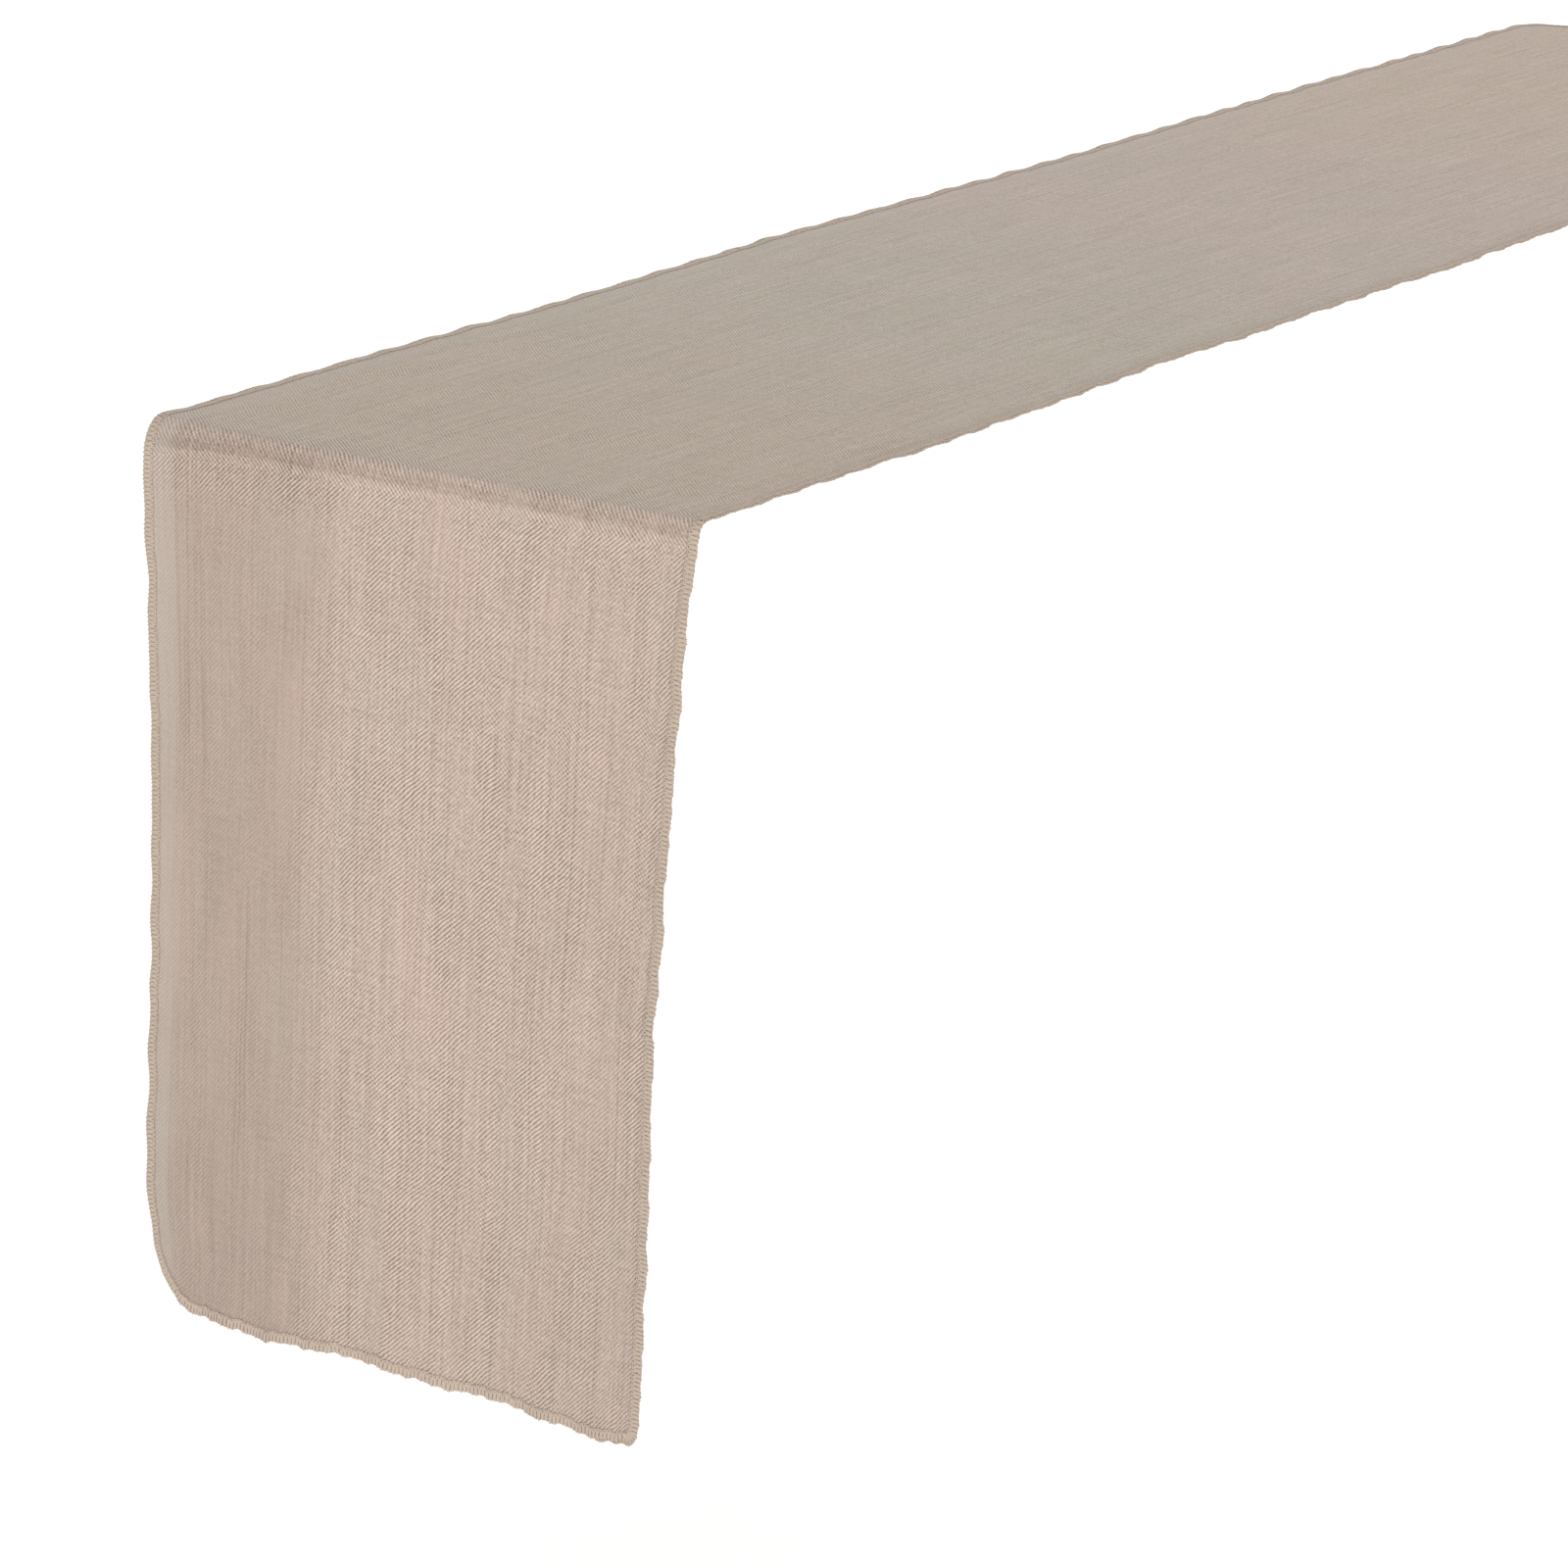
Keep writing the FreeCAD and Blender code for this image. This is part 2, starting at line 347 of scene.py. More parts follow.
def settled_moves():
    """How far each point of the coarse grid moves from where it was laid."""
    along, across = sim_grid()
    start = laid(along, across)
    rows, columns = along.shape
    index = np.arange(rows * columns).reshape(rows, columns)
    corners = [index[:-1, :-1], index[1:, :-1], index[1:, 1:], index[:-1, 1:]]
    faces = np.stack([corner.ravel() for corner in corners], axis=1)
    flat = np.zeros((rows * columns, 3))
    cloth = mesh_object("settling", start.reshape(-1, 3), faces, "cloth_flat", flat)
    edge_distance = np.minimum(HALF_WIDTH - np.abs(across), np.minimum(along, LENGTH - along))
    on_table = smooth(along, EDGE_ALONG - BEND_HELD, EDGE_ALONG)
    inside = smooth(edge_distance, FREE_EDGE, HELD_ON_TABLE)
    from_bend = np.abs(along - EDGE_ALONG + 0.5 * BEND_HELD)
    hold = inside * (on_table + (1 - on_table) * HELD_IN_DROP)
    hold = np.maximum(hold, 1 - smooth(from_bend, 0.5 * BEND_HELD, BEND_HELD))
    hold = np.maximum(hold, LEFT_HELD * smooth(across, 0.5 * HALF_WIDTH, HALF_WIDTH))
    unsewn = smooth(edge_distance, 0.0, SEAM_REACH)
    for name, weights in (("hold", hold), ("unsewn", unsewn)):
        group = cloth.vertex_groups.new(name=name)
        for number, weight in enumerate(weights.ravel()):
            group.add([number], float(weight), "REPLACE")
    block = table_block()
    modifier = cloth.modifiers.new("cloth", "CLOTH")
    settings = modifier.settings
    settings.quality = SIM_QUALITY
    settings.mass = SIM_MASS
    settings.air_damping = SIM_DAMPING
    settings.tension_stiffness = SIM_TENSION
    settings.compression_stiffness = SIM_TENSION
    settings.shear_stiffness = SIM_SHEAR
    settings.bending_stiffness = SIM_BENDING
    settings.vertex_group_mass = "hold"
    settings.vertex_group_shrink = "unsewn"
    settings.shrink_min = -SEAM_FULLNESS
    settings.shrink_max = 0.0
    modifier.collision_settings.distance_min = CLOTH_SKIN
    modifier.collision_settings.collision_quality = SIM_COLLISION_QUALITY
    modifier.point_cache.frame_start = 1
    modifier.point_cache.frame_end = SIM_FRAMES
    scene = bpy.context.scene
    for number in range(1, SIM_FRAMES + 1):
        scene.frame_set(number)
    settled = cloth.evaluated_get(bpy.context.evaluated_depsgraph_get())
    places = np.zeros(rows * columns * 3, np.float32)
    settled.data.vertices.foreach_get("co", places)
    for thing in (cloth, block):
        bpy.data.objects.remove(thing)
    scene.frame_set(1)
    moves = places.reshape(rows, columns, 3) - start
    size = np.linalg.norm(moves, axis=-1, keepdims=True)
    return moves * (np.tanh(size / MOST_MOVE) * MOST_MOVE / np.maximum(size, 1e-9))


def spline_weights(share):
    """The four weights of a smooth curve through evenly spaced values."""
    return (
        (1 - share) ** 3 / 6,
        (3 * share**3 - 6 * share**2 + 4) / 6,
        (-3 * share**3 + 3 * share**2 + 3 * share + 1) / 6,
        share**3 / 6,
    )


def moved_by(moves, along, across):
    """The coarse grid's moves, read smoothly at any points of the cloth."""
    rows, columns = moves.shape[:2]
    grid = np.pad(moves, ((1, 1), (1, 1), (0, 0)), mode="reflect", reflect_type="odd")
    row = np.clip(along / LENGTH, 0, 1) * (rows - 1)
    column = np.clip((across + HALF_WIDTH) / (2 * HALF_WIDTH), 0, 1) * (columns - 1)
    row_start = np.minimum(row.astype(int), rows - 2)
    column_start = np.minimum(column.astype(int), columns - 2)
    row_weights = spline_weights(row - row_start)
    column_weights = spline_weights(column - column_start)
    total = np.zeros(np.shape(along) + (3,))
    for i, row_weight in enumerate(row_weights):
        for j, column_weight in enumerate(column_weights):
            weight = (row_weight * column_weight)[..., None]
            total += weight * grid[row_start + i, column_start + j]
    return total


def underside(along, across):
    """Where points of the settled cloth's underside lie."""
    place = laid(along, across)
    if MOVES is not None:
        place = place + moved_by(MOVES, along, across)
    on_table = along > EDGE_ALONG + EDGE_RADIUS
    place[..., 2] = np.where(on_table, np.maximum(place[..., 2], 0.0), place[..., 2])
    return place


# How far off the points are that give the cloth's normal
NEARBY = 0.0004


def on_cloth(along, across, height):
    """Points at a height above the underside, and the cloth's upward normal there."""
    base = underside(along, across)
    way_on = underside(along + NEARBY, across) - underside(along - NEARBY, across)
    way_left = underside(along, across + NEARBY) - underside(along, across - NEARBY)
    normal = np.cross(way_on, way_left)
    normal /= np.linalg.norm(normal, axis=-1, keepdims=True)
    return base + normal * np.asarray(height)[..., None], normal


def corner_limit(distance_from_end, radius):
    """How far in from the long edge the outline is, at a distance from the end."""
    short = np.maximum(radius - distance_from_end, 0.0)
    return radius - np.sqrt(np.maximum(radius**2 - short**2, 0.0))


def inset(along, across, near_radii, far_radii):
    """How far in from the outline each point is."""
    side = HALF_WIDTH - np.abs(across)
    from_near, from_far = along, LENGTH - along
    result = np.minimum(side, np.minimum(from_near, from_far))
    for from_end, radii in ((from_near, near_radii), (from_far, far_radii)):
        for radius, on_this_side in ((radii[0], across < 0), (radii[1], across >= 0)):
            inside = on_this_side & (from_end < radius) & (side < radius)
            rounded = radius - np.hypot(radius - from_end, radius - side)
            result = np.where(inside, rounded, result)
    return np.maximum(result, 0.0)


NEAR_RADII = (NEAR_RIGHT_CORNER, ROUND_CORNER)
FAR_RADII = (ROUND_CORNER, ROUND_CORNER)


# ---------------------------------------------------------------- the cloth's meshes

# How far apart the rows of vertices lie, and how far the close rows reach on each side of the
# table's edge
DROP_ROWS = 0.004
BEND_ROWS = 0.0015
TABLE_ROWS = 0.005
FAR_FOLD_ROWS = 0.0009
BEND_ROWS_ABOVE = 0.030
BEND_ROWS_BELOW = 0.060
CORNER_ROWS = 14

# Columns of vertices in the margin, in millimetres from the edge, and how many lie between
MARGIN_COLUMNS = (0.0, 1.2, 2.6, 4.0, 5.4, 6.4, 7.2, 8.2, 10.0, 12.8, 16.4)
MIDDLE_COLUMNS = 76
SHARP_ANGLE = 60

def spaced(start, end, step):
    """Evenly spaced places from start up to but not including end."""
    count = max(1, round((end - start) / step))
    return list(start + (end - start) * np.arange(count) / count)


def corner_rows():
    """Distances from an end at which the rows of a rounded corner lie."""
    turns = np.arange(CORNER_ROWS) / CORNER_ROWS * math.pi / 2
    return list(ROUND_CORNER * (1 - np.cos(turns)))


def columns():
    """Places across the cloth, from 0 on the right to 1 on the left, closer at the edges."""
    edge = [value * MM / (2 * HALF_WIDTH) for value in MARGIN_COLUMNS]
    middle = list(np.linspace(edge[-1], 1 - edge[-1], MIDDLE_COLUMNS))
    return np.array(edge + middle[1:-1] + [1 - value for value in reversed(edge)])


def grid_mesh(name, rows):
    """A closed shell of cloth over the rows given. Each point's place on the flat cloth, and
    how far in it is from the edge, are stored for the material."""
    rows = np.array(rows)
    right = -HALF_WIDTH + np.maximum(
        corner_limit(rows, NEAR_RADII[0]), corner_limit(LENGTH - rows, FAR_RADII[0])
    )
    left = HALF_WIDTH - np.maximum(
        corner_limit(rows, NEAR_RADII[1]), corner_limit(LENGTH - rows, FAR_RADII[1])
    )
    shares = columns()
    across = right[:, None] + (left - right)[:, None] * shares[None, :]
    along = np.repeat(rows[:, None], len(shares), axis=1)
    in_from_edge = inset(along, across, NEAR_RADII, FAR_RADII)
    low = SEAM_RISE * (1 - smooth(in_from_edge, SEAM_WIDTH, SEAM_WIDTH + SEAM_RAMP))
    bottom, _ = on_cloth(along, across, low)
    top, _ = on_cloth(along, across, low + CLOTH_THICKNESS)

    row_count, column_count = along.shape
    size = row_count * column_count
    index = np.arange(size).reshape(row_count, column_count)
    a, b = index[:-1, :-1].ravel(), index[:-1, 1:].ravel()
    c, d = index[1:, 1:].ravel(), index[1:, :-1].ravel()
    top_faces = np.stack([a, d, c, b], axis=1)
    bottom_faces = np.stack([a, b, c, d], axis=1) + size
    ring = np.concatenate([index[0, :-1], index[:-1, -1], index[-1, :0:-1], index[:0:-1, 0]])
    following = np.roll(ring, -1)
    rim_faces = np.stack([ring, following, following + size, ring + size], axis=1)
    vertices = np.concatenate([top.reshape(-1, 3), bottom.reshape(-1, 3)])
    flat = np.stack([along.ravel(), across.ravel(), in_from_edge.ravel()], axis=1)
    faces = np.concatenate([top_faces, bottom_faces, rim_faces])
    return mesh_object(name, vertices, faces, "cloth_flat", np.concatenate([flat, flat]))


def mesh_object(name, vertices, faces, attribute_name, attribute_values):
    """A smooth-shaded object from vertices and quads, with one vector stored at each vertex."""
    mesh = bpy.data.meshes.new(name)
    mesh.vertices.add(len(vertices))
    mesh.vertices.foreach_set("co", vertices.astype(np.float32).ravel())
    mesh.loops.add(faces.size)
    mesh.loops.foreach_set("vertex_index", faces.astype(np.int32).ravel())
    mesh.polygons.add(len(faces))
    mesh.polygons.foreach_set("loop_start", np.arange(len(faces), dtype=np.int32) * 4)
    mesh.update(calc_edges=True)
    mesh.validate()
    mesh.polygons.foreach_set("use_smooth", np.ones(len(mesh.polygons), dtype=bool))
    mesh.set_sharp_from_angle(angle=math.radians(SHARP_ANGLE))
    attribute = mesh.attributes.new(attribute_name, "FLOAT_VECTOR", "POINT")
    attribute.data.foreach_set("vector", attribute_values.astype(np.float32).ravel())
    made = bpy.data.objects.new(name, mesh)
    bpy.context.scene.collection.objects.link(made)
    return made


def cloth_rows_near():
    """Places along the cloth of the near half's rows."""
    bend_top = EDGE_ALONG + BEND_ROWS_ABOVE
    bend_bottom = EDGE_ALONG - BEND_ROWS_BELOW
    return (
        corner_rows()
        + spaced(ROUND_CORNER, bend_bottom, DROP_ROWS)
        + spaced(bend_bottom, bend_top, BEND_ROWS)
        + spaced(bend_top, MIDDLE_ALONG, TABLE_ROWS)
        + [MIDDLE_ALONG]
    )


def cloth_rows_far():
    """Places along the cloth of the far half's rows."""
    return (
        spaced(MIDDLE_ALONG, FOLD_START_ALONG, TABLE_ROWS)
        + spaced(FOLD_START_ALONG, FOLD_END_ALONG, FAR_FOLD_ROWS)
        + spaced(FOLD_END_ALONG, LENGTH - ROUND_CORNER, TABLE_ROWS)
        + [LENGTH - ROUND_CORNER]
        + [LENGTH - row for row in reversed(corner_rows())]
    )


# ---------------------------------------------------------------- the seam's meshes


OUTLINE_STEP = 0.0005
ARC_POINTS = 60


def line(start, end):
    """Points from start to end, half a millimetre apart, as (in from the end, across)."""
    start, end = np.array(start), np.array(end)
    count = max(2, int(np.linalg.norm(end - start) / OUTLINE_STEP))
    return start + (end - start) * np.linspace(0, 1, count)[:, None]


def arc(centre, radius, start_degrees, end_degrees):
    """Points round an arc, as (in from the end, across)."""
    turns = np.radians(np.linspace(start_degrees, end_degrees, ARC_POINTS))
    return np.array(centre) + radius * np.stack([np.cos(turns), np.sin(turns)], axis=1)


def distances_on(points):
    """How far along a line of points each one is."""
    steps = np.linalg.norm(np.diff(points, axis=0), axis=1)
    return np.concatenate([[0.0], np.cumsum(steps)])


def end_outline(reach, radii):
    """The outline from reach in from an end, round the end and back, right to left, with
    its inward normals and the distance along it."""
    right, left = radii
    points = np.concatenate(
        [
            line((reach, -HALF_WIDTH), (right, -HALF_WIDTH)),
            arc((right, -HALF_WIDTH + right), right, -90, -180)[1:],
            line((0, -HALF_WIDTH + right), (0, HALF_WIDTH - left))[1:],
            arc((left, HALF_WIDTH - left), left, 180, 90)[1:],
            line((left, HALF_WIDTH), (reach, HALF_WIDTH))[1:],
        ]
    )
    way = np.gradient(points, axis=0)
    way /= np.linalg.norm(way, axis=1, keepdims=True)
    inward = np.stack([way[:, 1], -way[:, 0]], axis=1)
    return points, inward, distances_on(points)


def thread_centres(end, stitch_points, seed):
    """The centreline of one thread round one end, and the cloth's normals along it."""
    reach = MIDDLE_ALONG if end == "near" else LENGTH - MIDDLE_ALONG
    radii = NEAR_RADII if end == "near" else FAR_RADII
    points, inward, distance = end_outline(reach, radii)
    stitches = int(distance[-1] / STITCH)
    pitch = distance[-1] / stitches
    draw = np.random.default_rng(seed)
    pattern = np.array(stitch_points)
    on = (np.arange(stitches)[:, None] + pattern[None, :, 0]) * pitch
    on += draw.normal(0, STITCH_UNEVEN, (stitches, 1)) * pitch
    widths = draw.normal(1, STITCH_UNEVEN, (stitches, 1))
    in_from_edge = pattern[None, :, 1] * SEAM_WIDTH * widths
    in_from_edge += POINT_UNEVEN * MM * draw.normal(0, 1, in_from_edge.shape)
    height = np.repeat(pattern[None, :, 2] * MM, stitches, axis=0)
    on = np.clip(on.ravel(), 0, distance[-1])
    place = [np.interp(on, distance, points[:, k]) for k in (0, 1)]
    normal = [np.interp(on, distance, inward[:, k]) for k in (0, 1)]
    from_end = place[0] + normal[0] * in_from_edge.ravel()
    across = place[1] + normal[1] * in_from_edge.ravel()
    along = from_end if end == "near" else LENGTH - from_end
    return on_cloth(along, across, height.ravel())


def tube(centres, normals, half_width, half_height, sides=6):
    """A closed thread along centres, flattened against the cloth whose normals are given."""
    way = np.gradient(centres, axis=0)
    way /= np.maximum(np.linalg.norm(way, axis=1, keepdims=True), 1e-12)
    side = np.cross(way, normals)
    side /= np.maximum(np.linalg.norm(side, axis=1, keepdims=True), 1e-12)
    up = np.cross(side, way)
    turns = np.arange(sides) / sides * 2 * math.pi
    rings = (
        centres[:, None, :]
        + half_width * np.cos(turns)[None, :, None] * side[:, None, :]
        + half_height * np.sin(turns)[None, :, None] * up[:, None, :]
    )
    count = len(centres)
    index = np.arange(count * sides).reshape(count, sides)
    onward = np.roll(index, -1, axis=1)
    walls = np.stack([index[:-1], onward[:-1], onward[1:], index[1:]], axis=-1).reshape(-1, 4)
    distance = np.repeat(distances_on(centres), sides)
    stored = np.stack([distance, np.tile(turns, count), np.zeros(count * sides)], axis=1)
    vertices = rings.reshape(-1, 3)
    caps = [(0, 1, 2, 5), (5, 2, 3, 4)]
    first = np.array(caps)[:, ::-1]
    last = np.array(caps) + (count - 1) * sides
    return vertices, np.concatenate([walls, first, last]), stored


def thread_object(name, tubes):
    """One object from several tubes."""
    vertices, faces, stored, offset = [], [], [], 0
    for tube_vertices, tube_faces, tube_stored in tubes:
        vertices.append(tube_vertices)
        faces.append(tube_faces + offset)
        stored.append(tube_stored)
        offset += len(tube_vertices)
    arrays = [np.concatenate(part) for part in (vertices, faces, stored)]
    return mesh_object(name, arrays[0], arrays[1], "thread_place", arrays[2])


# ---------------------------------------------------------------- materials


class Tree:
    """A material's nodes, with short calls for the ones used here."""

    def __init__(self, name):
        self.material = bpy.data.materials.new(name)
        self.material.use_nodes = True
        self.nodes = self.material.node_tree.nodes
        self.links = self.material.node_tree.links
        self.shader = next(n for n in self.nodes if n.type == "BSDF_PRINCIPLED")

    def put(self, socket, value):
        if isinstance(value, bpy.types.NodeSocket):
            self.links.new(value, socket)
        else:
            socket.default_value = value

    def math(self, operation, *values):
        node = self.nodes.new("ShaderNodeMath")
        node.operation = operation
        for socket, value in zip(node.inputs, values):
            self.put(socket, value)
        return node.outputs[0]

    def vector_math(self, operation, *values):
        node = self.nodes.new("ShaderNodeVectorMath")
        node.operation = operation
        for socket, value in zip(node.inputs, values):
            self.put(socket, value)
        return node.outputs[0]

    def white_noise(self, vector):
        node = self.nodes.new("ShaderNodeTexWhiteNoise")
        node.noise_dimensions = "3D"
        self.put(node.inputs["Vector"], vector)
        return node.outputs["Value"]

    def attribute(self, name):
        node = self.nodes.new("ShaderNodeAttribute")
        node.attribute_name = name
        return node.outputs["Vector"]

    def parts(self, vector):
        node = self.nodes.new("ShaderNodeSeparateXYZ")
        self.put(node.inputs[0], vector)
        return node.outputs

    def noise(self, vector, scale=1.0, detail=2.0):
        node = self.nodes.new("ShaderNodeTexNoise")
        self.put(node.inputs["Vector"], vector)
        node.inputs["Scale"].default_value = scale
        node.inputs["Detail"].default_value = detail
        return node.outputs

    def spread(self, value, low, high, to_low=0.0, to_high=1.0):
        node = self.nodes.new("ShaderNodeMapRange")
        node.interpolation_type = "SMOOTHSTEP"
        self.put(node.inputs["Value"], value)
        for name, number in (
            ("From Min", low),
            ("From Max", high),
            ("To Min", to_low),
            ("To Max", to_high),
        ):
            node.inputs[name].default_value = number
        return node.outputs["Result"]

    def mix(self, share, first, second):
        node = self.nodes.new("ShaderNodeMix")
        node.data_type = "RGBA"
        self.put(node.inputs["Factor"], share)
        colours = [s for s in node.inputs if s.type == "RGBA"]
        self.put(colours[0], first)
        self.put(colours[1], second)
        return next(s for s in node.outputs if s.type == "RGBA")

    def bump(self, height, strength, distance):
        node = self.nodes.new("ShaderNodeBump")
        node.inputs["Strength"].default_value = strength
        node.inputs["Distance"].default_value = distance
        self.put(node.inputs["Height"], height)
        return node.outputs["Normal"]


# The pitch of the yarns of the weave in millimetres, lengthways and crosswise
WARP_PITCH = 1.4
WEFT_PITCH = 1.45

DARK_YARN = (0.205, 0.144, 0.110, 1)
LIGHT_YARN = (0.765, 0.615, 0.530, 1)
PINK_CAST = (0.560, 0.410, 0.355, 1)
GREEN_CAST = (0.470, 0.415, 0.325, 1)
# Painted highlight colour for a band near the left edge
LEFT_EDGE_PAINTED_HIGHLIGHT = (0.500, 0.440, 0.390, 1)
SEAM_SHADOW = (0.470, 0.365, 0.298, 1)
THREAD_COLOUR = (0.560, 0.450, 0.364, 1)
THREAD_SHADE = (0.405, 0.314, 0.248, 1)

# The weave lies flatter and closer in the left part of the drop, in millimetres from the
# middle of the cloth, and up to this far below the table's edge
CLOSE_FROM = 36.0
CLOSE_FULL = 80.0
CLOSE_END = (EDGE_ALONG - 0.034) / MM
CLOSE_START = (EDGE_ALONG - 0.064) / MM

# Where the crease of the bend lies along the cloth in its middle, and how much nearer the hem
# it is for each millimetre further left
CREASE_ALONG = (EDGE_ALONG - 0.0166) / MM
CREASE_SLOPE = 0.030

# How much the weave stands out on the table
TOP_WEAVE = 0.66

# Where between its dark and light yarns the cloth is, and how far each part moves it
MIDDLE_TONE = 0.485
WEAVE_TONE = 0.315
CROSSING_TONE = 0.185
STREAK_TONE = 0.065
SLUB_TONE = 0.065
RIB_TONE = 0.083
SPECKLE_TONE = 0.050
# Painted shade: the left part of the drop is darkened where it turns away from the light
LEFT_DROP_PAINTED_SHADE = -0.120
# Painted shade: the crease of the bend is darkened where shade falls in it
CREASE_PAINTED_SHADE = -0.150

# The bump, and the threads' own, in metres
WEAVE_BUMP = 0.00014
PLY_BUMP = 0.00006

# Painted light: tints that change slowly along the cloth stand in for the light falling off
# along its length: from where to where, and the two tints
WHITE = (1, 1, 1, 1)
PAINTED_LIGHT_ALONG_LENGTH = [
    (0.03, 0.20, (0.955, 0.955, 0.955, 1), WHITE),
    (EDGE_ALONG - 0.016, EDGE_ALONG + 0.010, WHITE, (1.035, 1.058, 1.012, 1)),
    (EDGE_ALONG + 0.10, EDGE_ALONG + 0.55, WHITE, (1.000, 1.050, 1.080, 1)),
    (EDGE_ALONG + 0.55, EDGE_ALONG + 0.95, WHITE, (1.055, 1.015, 1.060, 1)),
    (EDGE_ALONG + 0.95, EDGE_ALONG + 1.45, WHITE, (1.055, 1.015, 0.955, 1)),
]


def cloth_material():
    tree = Tree("cloth")
    flat = tree.vector_math("MULTIPLY", tree.attribute("cloth_flat"), (1000, 1000, 1000))
    flat_along, flat_across, inset_mm = tree.parts(flat)

    def stretched(along_scale, across_scale, detail=2.0):
        scaled = tree.vector_math("MULTIPLY", flat, (along_scale, across_scale, 0))
        return tree.noise(scaled, detail=detail)

    # The yarns wander a little, and bands of warp yarns are spaced wider or closer
    wander = stretched(0.045, 0.034, 3.0)["Color"]
    wander = tree.vector_math("MULTIPLY", wander, (3.6, 2.8, 0))
    bands = stretched(0.0030, 0.055)["Color"]
    bands = tree.vector_math("MULTIPLY", bands, (0.8, 1.2, 0))
    moved = tree.vector_math("ADD", tree.vector_math("ADD", flat, wander), bands)
    along, across, _ = tree.parts(moved)
    warp = tree.math("MULTIPLY", across, math.pi / WARP_PITCH)
    weft = tree.math("MULTIPLY", along, math.pi / WEFT_PITCH)
    rising = tree.math("COSINE", tree.math("ADD", warp, weft))
    falling = tree.math("COSINE", tree.math("SUBTRACT", warp, weft))

    # One slant of the weave stands out almost everywhere, and the other at the bend
    slant = tree.spread(stretched(0.012, 0.060)["Fac"], 0.36, 0.54, 0.40, 0.05)
    from_crease = tree.math("MULTIPLY_ADD", flat_across, CREASE_SLOPE, flat_along)
    from_crease = tree.math("SUBTRACT", from_crease, CREASE_ALONG)
    over_bend = tree.spread(from_crease, -15, -7, 0.0, 0.74)
    slant = tree.math("MAXIMUM", slant, over_bend)
    weave = tree.math(
        "SUBTRACT",
        tree.math("MULTIPLY", rising, tree.math("SUBTRACT", 1.0, slant)),
        tree.math("MULTIPLY", falling, slant),
    )

    # The weave is fainter in patches, in the close part, on the table and in the crease
    contrast = tree.spread(stretched(0.010, 0.032, 3.0)["Fac"], 0.34, 0.58, 0.62, 1.08)
    uneven = tree.math("MULTIPLY_ADD", stretched(0.008, 0.060, 3.0)["Fac"], 50.0, -25.0)
    close_part = tree.spread(tree.math("ADD", flat_across, uneven), CLOSE_FROM, CLOSE_FULL)
    below_bend = tree.spread(flat_along, CLOSE_START, CLOSE_END, 1.0, 0.0)
    close = tree.math("MULTIPLY", close_part, below_bend)
    before_bend = tree.spread(flat_along, CLOSE_END, EDGE_ALONG / MM, 1.0, 0.0)
    closeness = tree.math("MULTIPLY_ADD", close, -0.74, 1.0)
    edge_mm = EDGE_ALONG / MM
    on_top = tree.spread(flat_along, edge_mm + 2, edge_mm + 30, 1.0, TOP_WEAVE)
    contrast = tree.math("MULTIPLY", tree.math("MULTIPLY", contrast, closeness), on_top)
    # The crease of the bend, where the weave is fainter and shade is painted in
    crease_rises = tree.spread(from_crease, -6.5, -3)
    crease_falls = tree.spread(from_crease, -1.5, 4.5, 1.0, 0.0)
    crease = tree.math("MULTIPLY", crease_rises, crease_falls)
    contrast = tree.math("MULTIPLY", contrast, tree.math("MULTIPLY_ADD", crease, -0.45, 1.0))
    weave = tree.math("MULTIPLY", weave, contrast)

    # Each crossing of two yarns has its own brightness
    crossing = tree.vector_math("MULTIPLY", moved, (1 / WEFT_PITCH, 1 / WARP_PITCH, 0))
    dots = tree.math("SUBTRACT", tree.white_noise(tree.vector_math("FLOOR", crossing)), 0.5)
    dots = tree.math("MULTIPLY", dots, tree.math("MULTIPLY_ADD", close, -0.50, 1.0))

    # Each yarn has its own thickness, which changes along it
    streak = tree.spread(stretched(0.010, 0.50, 3.0)["Fac"], 0.30, 0.70, -1.0, 1.0)
    slub = tree.spread(stretched(1.30, 0.020)["Fac"], 0.66, 0.46, -1.0, 0.15)
    calm = tree.math("MULTIPLY_ADD", close, -0.40, 1.0)
    streak, slub = (tree.math("MULTIPLY", value, calm) for value in (streak, slub))
    ribs = tree.spread(stretched(0.004, 0.42, 1.0)["Fac"], 0.60, 0.72, 0.0, -1.0)
    grain = stretched(1.1, 1.0, 1.0)["Fac"]
    speckle = tree.spread(grain, 0.25, 0.75, -1.0, 1.0)

    light = MIDDLE_TONE
    for part, tone in (
        (weave, WEAVE_TONE),
        (dots, CROSSING_TONE),
        (streak, STREAK_TONE),
        (slub, SLUB_TONE),
        (ribs, RIB_TONE),
        (speckle, SPECKLE_TONE),
        # painted shade on the left part of the drop, where it turns from the light
        (tree.math("MULTIPLY", close_part, before_bend), LEFT_DROP_PAINTED_SHADE),
        # painted shade in the crease of the bend
        (crease, CREASE_PAINTED_SHADE),
    ):
        light = tree.math("MULTIPLY_ADD", part, tone, light)
    colour = tree.mix(light, DARK_YARN, LIGHT_YARN)
    # Painted light: tints along the length of the cloth
    for start, stop, first, second in PAINTED_LIGHT_ALONG_LENGTH:
        share = tree.spread(flat_along, start / MM, stop / MM)
        colour = tree.vector_math("MULTIPLY", colour, tree.mix(share, first, second))
    cast = stretched(0.006, 0.020)["Fac"]
    colour = tree.mix(tree.spread(cast, 0.50, 0.72, 0.0, 0.24), colour, PINK_CAST)
    colour = tree.mix(tree.spread(cast, 0.50, 0.28, 0.0, 0.24), colour, GREEN_CAST)
    side_mm, seam_mm = HALF_WIDTH / MM, SEAM_WIDTH / MM
